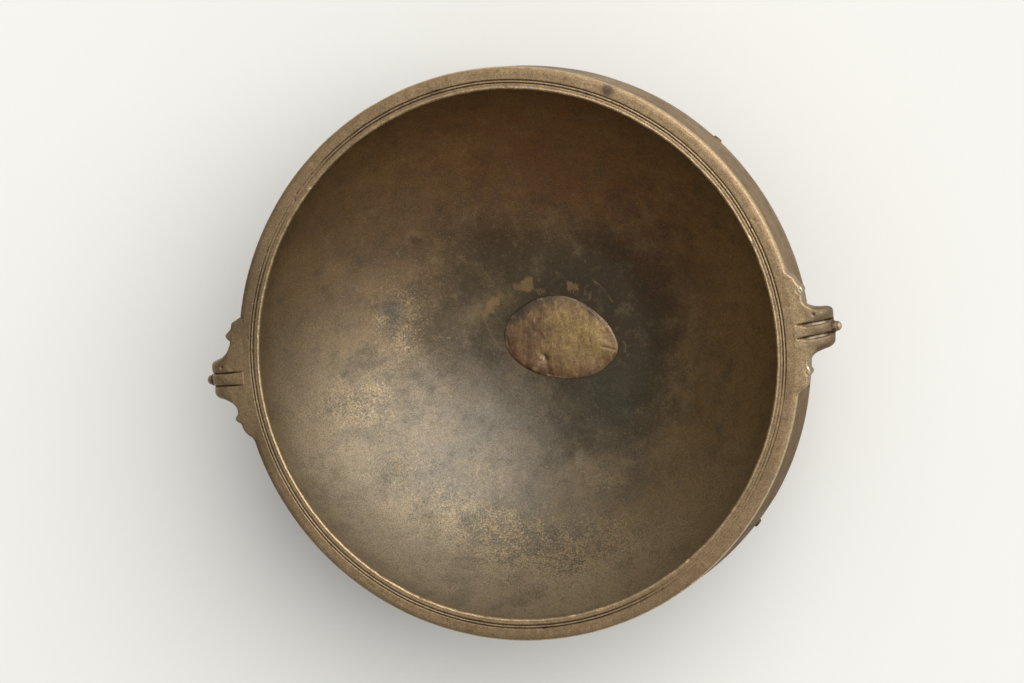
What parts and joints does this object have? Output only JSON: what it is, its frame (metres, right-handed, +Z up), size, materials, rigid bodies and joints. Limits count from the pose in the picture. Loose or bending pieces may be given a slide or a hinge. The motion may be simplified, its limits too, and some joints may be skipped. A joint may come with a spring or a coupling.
{
  "type": "brass urli bowl",
  "caption": "Wide cast brass cooking and display bowl with a flat grooved rim, finger-shaped fixed lugs and an oval repair plate on its floor.",
  "frame": {"origin": "middle of the resting plane, under the bowl's axis", "axes": "+Z up out of the bowl's mouth, +X and -X through the two lugs, +Y away across the rim"},
  "size_m": [0.4564, 0.4, 0.152],
  "materials": {
    "pan_brass": "cast, dark brown patina, half matt",
    "rim_brass": "worn satin, brassy edges",
    "lug_brass": "cast, dull satin with dark recesses",
    "patch_brass": "hammered, coppery satin",
    "rivet_brass": "beaten satin"
  },
  "bodies": {
    "root": {"bowl_pan": "pan_brass", "rim_ring": "rim_brass", "right_lug": "lug_brass", "right_lug_bar": "lug_brass", "left_lug": "lug_brass", "left_lug_bar": "lug_brass", "centre_patch": "patch_brass", "patch_backing": "patch_brass", "patch_rivet": "rivet_brass", "wall_studs": "pan_brass"}
  },
  "joints": []
}
